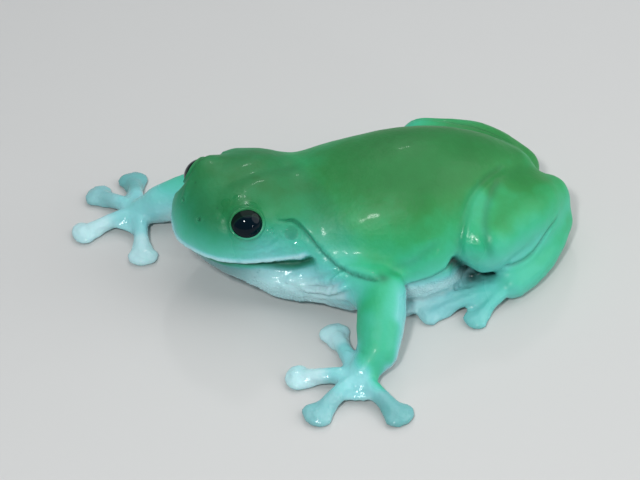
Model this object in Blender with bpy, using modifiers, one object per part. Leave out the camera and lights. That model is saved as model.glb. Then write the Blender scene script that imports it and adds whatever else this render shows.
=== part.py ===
"""A tree frog as a life-size museum model: crouched, fore body raised, one arm reaching ahead.

The frog faces -X, its left side is -Y, and it sits on z = 0. The whole body is modelled as one
form, fused and smoothed, and then parted into head, trunk and limb pieces with thin cuts.
Lengths in the tables are millimetres.
"""

import math

import bmesh
import bpy
import numpy as np
from mathutils import Matrix, Vector

MM = 0.001

CUT_GAP = 0.32  # width of every parting cut
RING_POINTS = 40  # points round each section of the head and trunk
RING_STEPS = 6  # sections added between two stations
FLESH_VOXEL = 0.85  # grid of the trunk and limbs before smoothing
SKIN_VOXEL = 0.62  # grid of the whole body with its digits
FLESH_SMOOTHING = 24  # passes over the body and limbs
SKIN_SMOOTHING = 3  # passes once the digits are on
BODY_TRIANGLES = 5000
CORE_TRIANGLES = 900
SHANK_TRIANGLES = 300
# Share of the triangles that stays on a piece of this kind, so that no slivers are left by its cuts.
THINNED = {"head": 0.55, "jaw": 0.6, "trunk": 0.54, "shank": 0.65, "thigh": 0.7, "forearm": 0.75}
FLOOR_REACH = 0.12
CORE_MARGIN = 0.75  # the limbs part from the head and trunk this far outside their own form
SMALLEST_PIECE = 80.0  # cubic millimetres: a shaving smaller than this is dropped

EYE_RADIUS = 4.9
EYE_SEGMENTS = 16
EAR_SEGMENTS = 10
EYE_HALF_SPACING = 11.2
EYE_TURN = (math.radians(20), math.radians(16))  # forward of sideways, and upward
LID_RADIUS = 6.1
LID_INSET = 1.0
EAR_PLACE = (-11.6, 17.3, -3.4)  # in the head's own axes
EAR_RADIUS = 2.2
EAR_THICKNESS = 1.6
MOUTH_LEVEL = -9.9
MOUTH_CORNER = -13.5
NECK_BEHIND_EYES = 23.0

DISC_SIZE = (3.1, 4.1, 1.7)  # half length, half width and half height of a finger's pad
TOE_DISC_SIZE = (2.8, 3.5, 1.6)
WEB_THICKNESS = 1.3
FINGER_CUTS = (0.62, 0.52, 0.52, 0.52)  # where each finger parts from the palm, as a share of it
FINGER_RADIUS = 2.1
TOE_RADIUS = 1.7
DIGIT_TAPER = (1.15, 1.02, 0.94, 0.86)  # from the root to the pad, as a share of its radius
PALM_SIZE = (5.2, 5.2, 2.6)
FLARE = (0.86, 0.72)  # the skin widens from this share of a digit's length to this share of its pad
TOE_WEB_REACH = (0.74, 0.9)  # along each toe, and at the web's hollow between two of them
BREAST_SIZE = (11.0, 9.2, 6.4)
BREAST_PLACE = (-25.0, -1.0, 6.6)  # between the two, which lie BREAST_ASIDE to each side
BREAST_ASIDE = 11.2
RUMP_END = (46.0, 0.5, 12.0)  # the heels part here, behind the rump
PELVIS = ((34.5, 0.0, 15.4), (9.5, 8.6, 8.8))  # middle and half sizes of the rump

# Head stations, from the snout back: forward of the eyes, half width, widest level, top, bottom,
# and the squareness of the section. Levels are measured from the middle of the eyes.
HEAD_PLACE = Vector((-40.8, 0.7, 25.6))
HEAD_YAW = math.radians(15)
HEAD_PITCH = math.radians(-4)
HEAD_STATIONS = [
    (13.6, 0.6, -5.0, -4.4, -5.6, 2.0),
    (13.2, 4.6, -5.4, -1.6, -9.4, 2.1),
    (11.6, 8.4, -6.2, 1.0, -12.0, 2.2),
    (8.2, 12.2, -7.2, 2.8, -14.8, 2.4),
    (3.0, 15.2, -8.2, 4.2, -18.0, 2.6),
    (-4.0, 17.3, -9.0, 5.0, -20.4, 2.6),
    (-11.5, 18.9, -9.8, 5.4, -21.6, 2.5),
    (-18.0, 18.6, -10.4, 3.8, -22.2, 2.4),
    (-26.0, 15.0, -10.0, 0.0, -20.0, 2.0),
    (-31.0, 0.6, -8.0, -6.0, -10.0, 2.0),
]

# Trunk stations, from the neck back: x, y of the middle, half width, widest level, top, bottom,
# squareness.
TRUNK_STATIONS = [
    (-35.0, 1.0, 0.6, 11.0, 12.0, 10.0, 2.0),
    (-32.0, 1.0, 12.0, 11.0, 19.0, 4.5, 2.0),
    (-25.5, 0.6, 18.6, 10.5, 26.4, 2.6, 2.1),
    (-16.0, -0.8, 21.8, 10.0, 30.0, 1.2, 2.1),
    (-5.0, -2.8, 23.8, 9.2, 33.4, 0.0, 2.05),
    (7.0, -4.0, 24.2, 9.0, 35.4, -0.8, 2.0),
    (18.0, -3.0, 20.6, 9.6, 34.2, -0.8, 2.0),
    (28.0, -1.0, 15.6, 11.0, 30.0, 0.4, 2.0),
    (36.0, 0.2, 11.0, 12.5, 24.8, 3.6, 2.0),
    (41.0, 0.8, 5.6, 14.0, 19.6, 8.6, 2.0),
    (42.8, 1.0, 0.6, 14.6, 15.0, 14.2, 2.0),
]
BELLY_SQUARENESS = 2.7

# Arms: shoulder, elbow, wrist and palm, where the breast's skin meets the arm, each finger's tip
# from the inner one out, and each web's reach along its fingers and at its hollow.
ARMS = {
    "left": dict(
        shoulder=(-18.4, -14.2, 9.6),
        elbow=(-8.0, -31.0, 12.6),
        wrist=(-13.4, -44.2, 6.0),
        palm=(-19.8, -48.4, 2.8),
        under=(-13.5, -23.5, 7.0),
        tips=[(-20.6, -30.4), (-33.6, -42.8), (-32.6, -56.2), (-13.4, -61.8)],
        webs=[(0.45, 0.75), (0.5, 0.8), (0.64, 0.95)],
    ),
    "right": dict(
        shoulder=(-23.0, 13.0, 12.5),
        elbow=(-35.0, 23.4, 9.6),
        wrist=(-52.5, 25.4, 5.6),
        palm=(-58.6, 26.6, 2.8),
        under=(-32.0, 19.0, 7.0),
        tips=[(-61.0, 11.2), (-74.2, 24.6), (-67.4, 38.6), (-57.0, 42.2)],
        webs=[(0.6, 0.95), (0.5, 0.8), (0.64, 0.95)],
    ),
}

# Hind legs: hip, knee, heel, the shank's bow at its middle, the foot's root, then each toe's tip
# from the inner one out.
LEGS = {
    "left": dict(
        hip=(35.0, -4.6, 14.2),
        knee=(21.6, -22.4, 14.6),
        heel=(44.4, -7.0, 11.4),
        bow=(0.0, 0.0, 1.4),
        foot=(27.6, -28.6, 4.0),
        tips=[(14.4, -21.6), (6.8, -22.6), (-0.6, -26.4), (4.4, -30.8), (15.2, -35.6)],
    ),
    "right": dict(
        hip=(34.0, 4.8, 14.4),
        knee=(18.6, 17.8, 15.4),
        heel=(41.6, 8.0, 10.2),
        bow=(0.6, 1.0, 0.0),
        foot=(24.5, 22.6, 4.0),
        tips=[(11.4, 16.0), (3.8, 16.6), (-3.6, 20.0), (1.2, 25.0), (12.4, 30.2)],
    ),
}

# Radii along each limb, from its upper end down.
RADII = {
    "upper_arm": [7.8, 7.5, 6.7, 6.0],
    "forearm": [5.8, 6.5, 6.2, 5.4],
    "wrist": [4.8, 3.8],
    "under_arm": [6.2, 5.6, 4.8],
    "thigh": [7.6, 8.8, 8.7, 8.0],
    "shank": [7.8, 8.8, 9.4, 8.7, 6.7],
    "tarsus": [5.0, 4.7, 4.5, 4.2],
}

# Colour and roughness by the last word of a piece's name.
SKIN_COLOURS = {
    "head": ((0.045, 0.21, 0.105), 0.35),
    "jaw": ((0.40, 0.50, 0.50), 0.4),
    "trunk": ((0.045, 0.26, 0.10), 0.35),
    "eye": ((0.004, 0.012, 0.014), 0.08),
    "ear": ((0.035, 0.16, 0.08), 0.4),
    "arm": ((0.10, 0.42, 0.28), 0.35),
    "forearm": ((0.055, 0.45, 0.24), 0.35),
    "hand": ((0.16, 0.54, 0.58), 0.4),
    "thigh": ((0.055, 0.42, 0.22), 0.35),
    "shank": ((0.055, 0.42, 0.22), 0.35),
    "foot": ((0.10, 0.52, 0.46), 0.4),
    "finger": ((0.36, 0.62, 0.68), 0.4),
}


def clear_scene():
    for old in list(bpy.data.objects):
        bpy.data.objects.remove(old, do_unlink=True)


def collection(name):
    made = bpy.data.collections.new(name)
    bpy.context.scene.collection.children.link(made)
    return made


def add(name, mesh):
    made = bpy.data.objects.new(name, mesh)
    bpy.context.scene.collection.objects.link(made)
    return made


def mesh_from(name, build):
    """A mesh made with bmesh by the function build."""
    work = bmesh.new()
    build(work)
    bmesh.ops.recalc_face_normals(work, faces=work.faces)
    mesh = bpy.data.meshes.new(name)
    work.to_mesh(mesh)
    work.free()
    return mesh


def between(stations):
    """Catmull-Rom stations between the given ones, so that a loft through them is smooth."""
    table = np.array(stations, float)
    padded = np.vstack([2 * table[0] - table[1], table, 2 * table[-1] - table[-2]])
    rows = []
    for i in range(1, len(table)):
        a, b, c, d = padded[i - 1 : i + 3]
        square = 2 * a - 5 * b + 4 * c - d
        cube = 3 * b - a - 3 * c + d
        for t in np.arange(RING_STEPS) / RING_STEPS:
            rows.append((2 * b + (c - a) * t + square * t**2 + cube * t**3) / 2)
    rows.append(table[-1])
    return rows


def ring(half_width, level, top, bottom, squareness, below=None):
    """(sideways, up) points of a section: a superellipse whose upper and lower halves differ."""
    points = []
    for i in range(RING_POINTS):
        turn = 2 * math.pi * i / RING_POINTS
        c, s = math.cos(turn), math.sin(turn)
        power = 2 / (squareness if s > 0 else below or squareness)
        reach = (top - level) if s > 0 else (level - bottom)
        side = half_width * math.copysign(abs(c) ** power, c)
        points.append((side, level + reach * math.copysign(abs(s) ** power, s)))
    return points


def loft(name, rings):
    """A closed skin over rings of points, with a point at each end."""

    def build(work):
        rows = [[work.verts.new(Vector(p) * MM) for p in points] for points in rings]
        for one, two in zip(rows, rows[1:]):
            for i in range(len(one)):
                j = (i + 1) % len(one)
                work.faces.new((one[i], one[j], two[j], two[i]))
        for row in (rows[0], rows[-1]):
            middle = work.verts.new(sum((v.co for v in row), Vector()) / len(row))
            for i in range(len(row)):
                work.faces.new((row[i], row[(i + 1) % len(row)], middle))

    return add(name, mesh_from(name, build))


def head_frame():
    """Head axes in the world: +X forward, +Y to the frog's left, +Z up."""
    turn = Matrix.Rotation(math.pi + HEAD_YAW, 4, "Z") @ Matrix.Rotation(HEAD_PITCH, 4, "Y")
    return Matrix.Translation(HEAD_PLACE) @ turn


def head_form():
    frame = head_frame()
    rings = []
    for forward, *section in between(HEAD_STATIONS):
        rings.append([frame @ Vector((forward, y, z)) for y, z in ring(*section)])
    return loft("head_form", rings)


def trunk_form():
    rings = []
    for x, middle, *section in between(TRUNK_STATIONS):
        rings.append([(x, middle + y, z) for y, z in ring(*section, BELLY_SQUARENESS)])
    return loft("trunk_form", rings)


def ball(name, centre, radii, turn=None, segments=32):
    """An ellipsoid; turn is a rotation matrix for its axes."""

    def build(work):
        bmesh.ops.create_uvsphere(work, u_segments=segments, v_segments=segments // 2, radius=1)
        shape = Matrix.Diagonal((*[r * MM for r in radii], 1))
        place = Matrix.Translation(Vector(centre) * MM) @ (turn or Matrix()) @ shape
        bmesh.ops.transform(work, matrix=place, verts=work.verts)

    return add(name, mesh_from(name, build))


def tube(name, points, radii):
    """A round limb through the points, as thick at each as its radius."""
    curve = bpy.data.curves.new(name, "CURVE")
    curve.dimensions = "3D"
    curve.bevel_depth = MM
    curve.bevel_resolution = 5
    curve.resolution_u = 8
    curve.use_fill_caps = True
    spline = curve.splines.new("BEZIER")
    spline.bezier_points.add(len(points) - 1)
    for knot, point, radius in zip(spline.bezier_points, points, radii):
        knot.co = Vector(point) * MM
        knot.radius = radius
        knot.handle_left_type = knot.handle_right_type = "AUTO"
    made = add(name, curve)
    graph = bpy.context.evaluated_depsgraph_get()
    mesh = bpy.data.meshes.new_from_object(made.evaluated_get(graph))
    bpy.data.objects.remove(made)
    work = bmesh.new()
    work.from_mesh(mesh)
    bmesh.ops.remove_doubles(work, verts=work.verts, dist=1e-6)
    work.to_mesh(mesh)
    work.free()
    return add(name, mesh)


def limb(name, start, end, radii, bow=(0, 0, 0)):
    """A tapered limb between two joints, with a rounded ball at both ends."""
    start, end, bow = Vector(start), Vector(end), Vector(bow)
    count = len(radii)
    points = []
    for i in range(count):
        t = i / (count - 1)
        points.append(start.lerp(end, t) + bow * math.sin(math.pi * t))
    return [
        tube(name, points, radii),
        ball(name + "_start", start, [radii[0]] * 3),
        ball(name + "_end", end, [radii[-1]] * 3),
    ]


def aim(direction):
    """A rotation that turns +X along the direction and keeps +Z up."""
    return Vector(direction).to_track_quat("X", "Z").to_matrix().to_4x4()


def digit(name, root, tip, thickness, disc, arch):
    """A finger or toe: a slim tube that arches from its root, and a flat round pad at its tip."""
    root = Vector(root)
    tip = Vector((*tip, disc[2] * 0.62))
    heading = (tip - root) * Vector((1, 1, 0))
    heading.normalize()
    neck = tip - heading * disc[0] * 0.55
    neck.z = 1.5
    lift = Vector((0, 0, arch))
    points = [root, root.lerp(neck, 0.36) + lift, root.lerp(neck, 0.7) + lift * 0.4, neck]
    radii = [thickness * share for share in DIGIT_TAPER]
    along, wide = FLARE
    flare = root.lerp(tip, along)
    flare.z = tip.z
    size = (disc[0] * 1.4, disc[1] * wide, disc[2] * 0.9)
    return [
        tube(name, points, radii),
        ball(name + "_flare", flare, size, aim(heading)),
        ball(name + "_pad", tip, disc, aim(heading)),
    ]


def web(name, points):
    """A thin sheet of skin over the fan of points, the first of which is its root."""

    def build(work):
        verts = [work.verts.new(Vector(p) * MM) for p in points]
        for i in range(1, len(verts) - 1):
            work.faces.new((verts[0], verts[i], verts[i + 1]))

    made = add(name, mesh_from(name, build))
    sheet = made.modifiers.new("thickness", "SOLIDIFY")
    sheet.thickness = WEB_THICKNESS * MM
    sheet.offset = 0
    return made


def webs(name, root, tips, reaches):
    """The webs between neighbouring digits, each hollow at its free edge."""
    made = []
    for number, (along, hollow) in enumerate(reaches, 1):
        one, two = (root.lerp(Vector((*tip, 1.2)), along) for tip in tips[number - 1 : number + 1])
        middle = root.lerp((one + two) / 2, hollow)
        made.append(web(f"{name}_web_{number}", [root, one, middle, two]))
    return made


def outward(side):
    """The sign of y on that side of the body."""
    return -1 if side == "left" else 1


def breast_place(side):
    return Vector(BREAST_PLACE) + Vector((0, outward(side) * BREAST_ASIDE, 0))


def breast_form(side):
    return ball(side + "_breast", breast_place(side), BREAST_SIZE)


def arm_forms(side):
    arm = ARMS[side]
    return [
        *limb(side + "_upper_arm", arm["shoulder"], arm["elbow"], RADII["upper_arm"]),
        *limb(side + "_forearm", arm["elbow"], arm["wrist"], RADII["forearm"]),
        *limb(side + "_wrist", arm["wrist"], arm["palm"], RADII["wrist"]),
        *limb(side + "_under_arm", breast_place(side), arm["under"], RADII["under_arm"]),
    ]


def hand_forms(side):
    arm = ARMS[side]
    palm = Vector(arm["palm"])
    forms = [ball(side + "_palm", palm, PALM_SIZE)]
    for number, tip in enumerate(arm["tips"], 1):
        root = palm + (Vector((*tip, palm.z)) - palm).normalized() * 2.4
        forms += digit(f"{side}_finger_{number}", root, tip, FINGER_RADIUS, DISC_SIZE, 0.5)
    return forms + webs(side + "_finger", palm, arm["tips"], arm["webs"])


def shank_forms(side):
    leg = LEGS[side]
    return limb(side + "_shank", leg["knee"], leg["heel"], RADII["shank"], leg["bow"])


def leg_forms(side):
    leg = LEGS[side]
    ankle = Vector(leg["heel"]) + Vector((1.6, outward(side) * 4.0, -4.4))
    bow = (1.0, outward(side) * 1.8, -0.6)
    return [
        *limb(side + "_thigh", leg["hip"], leg["knee"], RADII["thigh"]),
        *shank_forms(side),
        *limb(side + "_tarsus", ankle, leg["foot"], RADII["tarsus"], bow),
    ]


def foot_forms(side):
    leg = LEGS[side]
    foot = Vector(leg["foot"])
    forms = []
    for number, tip in enumerate(leg["tips"], 1):
        root = foot + (Vector((*tip, foot.z)) - foot).normalized()
        forms += digit(f"{side}_toe_{number}", root, tip, TOE_RADIUS, TOE_DISC_SIZE, 0.3)
    return forms + webs(side + "_toe", foot, leg["tips"], [TOE_WEB_REACH] * (len(leg["tips"]) - 1))


def eye_centre(side):
    return head_frame() @ Vector((0, EYE_HALF_SPACING * (1 if side == "left" else -1), 0))


def eye_axis(side):
    forward, upward = EYE_TURN
    sideways = 1 if side == "left" else -1
    local = Vector((math.sin(forward), sideways * math.cos(forward), math.tan(upward)))
    return (head_frame().to_3x3() @ local).normalized()


def lid_forms():
    return [
        ball(side + "_lid", eye_centre(side) - eye_axis(side) * LID_INSET, [LID_RADIUS] * 3)
        for side in ("left", "right")
    ]


def settle(made):
    """Takes the object's modifiers into its mesh."""
    graph = bpy.context.evaluated_depsgraph_get()
    mesh = bpy.data.meshes.new_from_object(made.evaluated_get(graph))
    made.modifiers.clear()
    made.data = mesh
    return made


def join(name, forms):
    """One object that holds the meshes of all the forms, which are removed."""
    work = bmesh.new()
    for form in forms:
        work.from_mesh(settle(form).data)
        bpy.data.objects.remove(form)
    mesh = bpy.data.meshes.new(name)
    work.to_mesh(mesh)
    work.free()
    return add(name, mesh)


def thin(whole, share):
    """Takes out the least needed triangles until only this share is left."""
    decimate = whole.modifiers.new("thin", "DECIMATE")
    decimate.ratio = share
    return settle(whole)


def level(piece):
    """Sets every point that lies within a hair of the floor exactly on it."""
    for vertex in piece.data.vertices:
        if abs(vertex.co.z) < FLOOR_REACH * MM:
            vertex.co.z = 0


def fuse(name, forms, voxel, smoothing, triangles=None):
    """One closed skin over all the forms, remeshed and smoothed, and thinned to so many triangles."""
    whole = join(name, forms)
    remesh = whole.modifiers.new("remesh", "REMESH")
    remesh.mode = "VOXEL"
    remesh.voxel_size = voxel * MM
    smooth = whole.modifiers.new("smooth", "SMOOTH")
    smooth.factor = 0.5
    smooth.iterations = smoothing
    settle(whole)
    if triangles:
        thin(whole, triangles / sum(len(face.vertices) - 2 for face in whole.data.polygons))
    return whole


def box(name, x, y, z):
    """A box between the limits along each axis."""

    def build(work):
        bmesh.ops.create_cube(work, size=1)
        sides = Matrix.Diagonal([(end - start) * MM for start, end in (x, y, z)] + [1])
        middle = Vector([(start + end) / 2 * MM for start, end in (x, y, z)])
        bmesh.ops.transform(work, matrix=Matrix.Translation(middle) @ sides, verts=work.verts)

    return add(name, mesh_from(name, build))


def copy(name, original):
    return add(name, original.data.copy())


def inflated(name, original, distance):
    """A copy whose every point is moved outward along its normal."""
    made = copy(name, original)
    for vertex, normal in zip(made.data.vertices, [v.vector.copy() for v in made.data.vertex_normals]):
        vertex.co += normal * distance * MM
    return made


def slab(name, centre, normal, half_height, half_width, lengthwise=(0, 0, 1)):
    """A thin plate across the normal, for cutting; lengthwise is the direction of its height."""
    normal = Vector(normal).normalized()
    up = (Vector(lengthwise) - normal * normal.dot(Vector(lengthwise))).normalized()
    side = up.cross(normal)

    def build(work):
        bmesh.ops.create_cube(work, size=2)
        axes = Matrix((normal * CUT_GAP / 2, side * half_width, up * half_height)).transposed().to_4x4()
        axes = Matrix.Translation(Vector(centre) * MM) @ Matrix.Scale(MM, 4) @ axes
        bmesh.ops.transform(work, matrix=axes, verts=work.verts)

    return add(name, mesh_from(name, build))


def cut(target, operation, cutter):
    boolean = target.modifiers.new(operation.lower(), "BOOLEAN")
    boolean.operation = operation
    boolean.object = cutter
    return settle(target)


def pieces(whole):
    """The separate bodies of an object, each its own object, without shavings."""
    work = bmesh.new()
    work.from_mesh(whole.data)
    left = set(work.verts)
    found = []
    while left:
        island, stack = set(), [left.pop()]
        while stack:
            vertex = stack.pop()
            island.add(vertex)
            near = {edge.other_vert(vertex) for edge in vertex.link_edges} & left
            left -= near
            stack += near
        found.append({vertex.index for vertex in island})
    work.free()
    made = []
    for index, island in enumerate(found):
        part = bmesh.new()
        part.from_mesh(whole.data)
        bmesh.ops.delete(part, geom=[v for v in part.verts if v.index not in island], context="VERTS")
        if part.calc_volume() > SMALLEST_PIECE * MM**3:
            mesh = bpy.data.meshes.new(whole.name)
            part.to_mesh(mesh)
            made.append(add(f"{whole.name}_{index}", mesh))
        part.free()
    bpy.data.objects.remove(whole)
    return made


def on_head(forward, left, up):
    return head_frame() @ Vector((forward, left, up))


def head_direction(forward, left, up):
    return head_frame().to_3x3() @ Vector((forward, left, up))


def arm_plates(side):
    """Cutting plates at the elbow, the wrist and the root of each finger."""
    arm = ARMS[side]
    shoulder, elbow, wrist, palm = (Vector(arm[name]) for name in ("shoulder", "elbow", "wrist", "palm"))
    bend = (elbow - shoulder).normalized() + (wrist - elbow).normalized()
    plates = [
        slab("elbow_plate", elbow + (wrist - elbow) * 0.06, bend, 13, 13),
        slab("wrist_plate", wrist.lerp(elbow, 0.06), palm - elbow, 8, 7.5),
    ]
    for share, tip in zip(FINGER_CUTS, arm["tips"]):
        along = Vector((*tip, 1.2)) - palm
        plates.append(slab("finger_plate", palm + along * share, along, 5, 3.2))
    return plates


def knee_plate(side):
    """A plate through the knee that parts the folded thigh from the shank."""
    leg = LEGS[side]
    hip, knee, heel = (Vector(leg[name]) for name in ("hip", "knee", "heel"))
    shank, thigh = (heel - knee).normalized(), (hip - knee).normalized()
    return slab("knee_plate", knee + (shank + thigh) * 8, thigh - shank, 24, 22, shank)


def core_forms():
    return [
        head_form(),
        trunk_form(),
        ball("pelvis", *PELVIS),
        *lid_forms(),
        breast_form("left"),
        breast_form("right"),
    ]


def split(name, whole, form, triangles):
    """The parts of a body inside and outside a form, a little clear of it and of each other."""
    form = fuse("form", [form], 1.2, 2, triangles)
    inner = inflated("inner", form, CORE_MARGIN)
    outer = inflated("outer", form, CORE_MARGIN + CUT_GAP)
    inside = cut(copy(name, whole), "INTERSECT", inner)
    outside = cut(whole, "DIFFERENCE", outer)
    for helper in (form, inner, outer):
        bpy.data.objects.remove(helper)
    return inside, outside


def centre(piece):
    """The middle of a piece's points, in millimetres."""
    points = [vertex.co for vertex in piece.data.vertices]
    return sum(points, Vector()) / len(points) / MM


def volume(piece):
    work = bmesh.new()
    work.from_mesh(piece.data)
    size = work.calc_volume() / MM**3
    work.free()
    return size


def largest(whole):
    """The biggest body of an object, alone."""
    found = sorted(pieces(whole), key=volume)
    for shaving in found[:-1]:
        bpy.data.objects.remove(shaving)
    return found[-1]


def seeds():
    """A point in the middle of each limb piece, by the piece's name."""
    places = {}
    for side in ("left", "right"):
        arm, leg = ARMS[side], LEGS[side]
        palm = Vector(arm["palm"])
        places[side + "_upper_arm"] = Vector(arm["shoulder"]).lerp(Vector(arm["elbow"]), 0.6)
        places[side + "_forearm"] = Vector(arm["elbow"]).lerp(Vector(arm["wrist"]), 0.5)
        places[side + "_hand"] = palm
        for number, (share, tip) in enumerate(zip(FINGER_CUTS, arm["tips"]), 1):
            places[f"{side}_finger_{number}"] = palm.lerp(Vector((*tip, 1.2)), (1 + share) / 2)
        places[side + "_thigh"] = Vector(leg["hip"]).lerp(Vector(leg["knee"]), 0.5) + Vector((0, 0, 5))
        places[side + "_leg"] = Vector(leg["knee"]).lerp(Vector(leg["foot"]), 0.5)
    return places


def limb_pieces(limbs):
    """Parts what lies outside the head and trunk into named pieces."""
    plates = arm_plates("left") + arm_plates("right") + [knee_plate("left"), knee_plate("right")]
    plates.append(slab("rump_plate", RUMP_END, (0, 1, 0), 10, 10))
    for plate in plates:
        cut(limbs, "DIFFERENCE", plate)
        bpy.data.objects.remove(plate)
    named = {}
    places = seeds()
    for piece in pieces(limbs):
        middle = centre(piece)
        named[min(places, key=lambda name: (places[name] - middle).length)] = piece
    for side in ("left", "right"):
        form = join("form", shank_forms(side))
        shank, foot = split(side + "_shank", named.pop(side + "_leg"), form, SHANK_TRIANGLES)
        named[side + "_shank"] = largest(shank)
        named[side + "_foot"] = largest(foot)
    return named


def head_pieces(body):
    """Parts the body at the neck and the mouth, and sinks the eyes and ears into the head."""
    neck = slab("neck", on_head(-NECK_BEHIND_EYES, 0, -8), head_direction(1, 0, -0.12), 60, 60)
    cut(body, "DIFFERENCE", neck)
    head, trunk = sorted(sorted(pieces(body), key=volume)[-2:], key=lambda piece: centre(piece).x)
    helpers = [neck]
    up, back = head_direction(0, 0, 1), head_direction(1, 0, 0)
    length = (HEAD_STATIONS[0][0] - MOUTH_CORNER) / 2 + 2
    mouth = slab("mouth", on_head(MOUTH_CORNER + length, 0, MOUTH_LEVEL), up, length, 30, back)
    jaw_end = slab("jaw_end", on_head(MOUTH_CORNER, 0, MOUTH_LEVEL - 14.8), back, 15, 30, up)
    for plate in (mouth, jaw_end):
        cut(head, "DIFFERENCE", plate)
        helpers.append(plate)
    head, jaw = sorted(pieces(head), key=volume)[-1:-3:-1]
    named = {"trunk": trunk, "lower_jaw": jaw}
    for side in ("left", "right"):
        eye = eye_centre(side)
        turn = aim(eye_axis(side))
        socket = ball("socket", eye, [EYE_RADIUS + CUT_GAP] * 3, turn, EYE_SEGMENTS)
        cut(head, "DIFFERENCE", socket)
        named[side + "_eye"] = ball(side + "_eye", eye, [EYE_RADIUS] * 3, turn, EYE_SEGMENTS)
        forward, aside, up = EAR_PLACE
        place = on_head(forward, -outward(side) * aside, up)
        along = head_direction(0.1, -outward(side), 0.25)
        shape = (EAR_THICKNESS / 2, EAR_RADIUS, EAR_RADIUS)
        recess = ball("recess", place, [size + CUT_GAP for size in shape], aim(along), EAR_SEGMENTS)
        cut(head, "DIFFERENCE", recess)
        named[side + "_ear"] = ball(side + "_ear", place, shape, aim(along), EAR_SEGMENTS)
        helpers += [socket, recess]
    named["head"] = largest(head)
    for helper in helpers:
        bpy.data.objects.remove(helper)
    return named


def paint(piece, colour, roughness):
    material = bpy.data.materials.new(piece.name)
    material.use_nodes = True
    shader = material.node_tree.nodes["Principled BSDF"]
    shader.inputs["Base Color"].default_value = (*colour, 1)
    shader.inputs["Roughness"].default_value = roughness
    shader.inputs["Metallic"].default_value = 0
    piece.data.materials.clear()
    piece.data.materials.append(material)


def main():
    clear_scene()
    core = fuse("core", core_forms(), FLESH_VOXEL, FLESH_SMOOTHING)
    limbs, digits = [], []
    for side in ("left", "right"):
        limbs += arm_forms(side) + leg_forms(side)
        digits += hand_forms(side) + foot_forms(side)
    flesh = fuse("flesh", [copy("core_copy", core), *limbs], FLESH_VOXEL, FLESH_SMOOTHING)
    frog = fuse("frog", [flesh, *digits], SKIN_VOXEL, SKIN_SMOOTHING, BODY_TRIANGLES)
    floor = box("floor", (-150, 150), (-150, 150), (-20, 0))
    cut(frog, "DIFFERENCE", floor)
    bpy.data.objects.remove(floor)
    body, limbs = split("body", frog, core, CORE_TRIANGLES)
    named = limb_pieces(limbs) | head_pieces(body)

    points = [vertex.co for piece in named.values() for vertex in piece.data.vertices]
    low = Vector([min(point[axis] for point in points) for axis in range(3)])
    high = Vector([max(point[axis] for point in points) for axis in range(3)])
    home = collection("tree_frog")
    for name, piece in named.items():
        kind = name.rstrip("_1234").split("_")[-1]
        if kind in THINNED:
            thin(piece, THINNED[kind])
            level(piece)
        piece.name = name
        piece.data.name = name
        piece.data.transform(Matrix.Translation((-(low.x + high.x) / 2, -(low.y + high.y) / 2, -low.z)))
        paint(piece, *SKIN_COLOURS[kind])
        bpy.context.scene.collection.objects.unlink(piece)
        home.objects.link(piece)


main()
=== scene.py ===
import math
import re
import time

import bmesh
import bpy
import numpy as np
from mathutils import Matrix, Vector, noise
from mathutils.bvhtree import BVHTree


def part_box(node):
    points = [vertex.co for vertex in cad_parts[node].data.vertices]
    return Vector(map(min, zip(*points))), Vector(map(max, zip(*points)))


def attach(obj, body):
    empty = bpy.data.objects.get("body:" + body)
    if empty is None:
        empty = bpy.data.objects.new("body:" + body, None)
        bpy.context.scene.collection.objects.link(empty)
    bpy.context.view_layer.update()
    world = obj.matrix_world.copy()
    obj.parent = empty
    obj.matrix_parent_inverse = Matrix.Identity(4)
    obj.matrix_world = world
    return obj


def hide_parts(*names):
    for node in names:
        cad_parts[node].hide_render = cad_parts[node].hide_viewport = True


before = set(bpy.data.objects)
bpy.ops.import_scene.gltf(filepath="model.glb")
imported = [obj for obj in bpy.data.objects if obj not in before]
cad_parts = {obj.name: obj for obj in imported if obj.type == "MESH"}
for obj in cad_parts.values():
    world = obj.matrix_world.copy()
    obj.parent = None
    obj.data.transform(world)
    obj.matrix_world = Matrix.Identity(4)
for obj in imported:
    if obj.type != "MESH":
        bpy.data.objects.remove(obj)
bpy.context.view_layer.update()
started = time.time()
mm = 0.001  # lengths below are millimetres


def report(stage):
    print(f"{time.time() - started:6.1f} s  {stage}", flush=True)


# points and meshes


def pointsOf(mesh):
    flat = np.empty(len(mesh.vertices) * 3, np.float32)
    mesh.vertices.foreach_get("co", flat)
    return flat.reshape(-1, 3).astype(float) / mm


def setPoints(mesh, points):
    mesh.vertices.foreach_set("co", (points * mm).astype(np.float32).ravel())
    mesh.update()


def normalsOf(mesh):
    flat = np.empty(len(mesh.vertices) * 3, np.float32)
    mesh.vertex_normals.foreach_get("vector", flat)
    return flat.reshape(-1, 3).astype(float)


def edgesOf(mesh):
    flat = np.empty(len(mesh.edges) * 2, np.int32)
    mesh.edges.foreach_get("vertices", flat)
    return flat.reshape(-1, 2)


def averaged(values, edges, passes, weight=0.5):  # each point drifts towards the mean of its neighbours
    wasFlat = values.ndim == 1
    values = values.reshape(len(values), -1).copy()
    weight = np.broadcast_to(np.asarray(weight, float).reshape(-1, 1), (len(values), 1))
    first, second = edges.T
    count = np.maximum(np.bincount(edges.ravel(), minlength=len(values)), 1)
    for _ in range(passes):
        for axis in range(values.shape[1]):
            column = values[:, axis]
            total = np.bincount(first, column[second], len(column))
            total += np.bincount(second, column[first], len(column))
            values[:, axis] = column + (total / count - column) * weight[:, 0]
    return values[:, 0] if wasFlat else values


def step(low, high, value):  # smooth step from 0 at low to 1 at high
    share = np.clip((value - low) / (high - low), 0, 1)
    return share * share * (3 - 2 * share)


def bell(value, width):
    return np.exp(-((value / width) ** 2))


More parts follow.
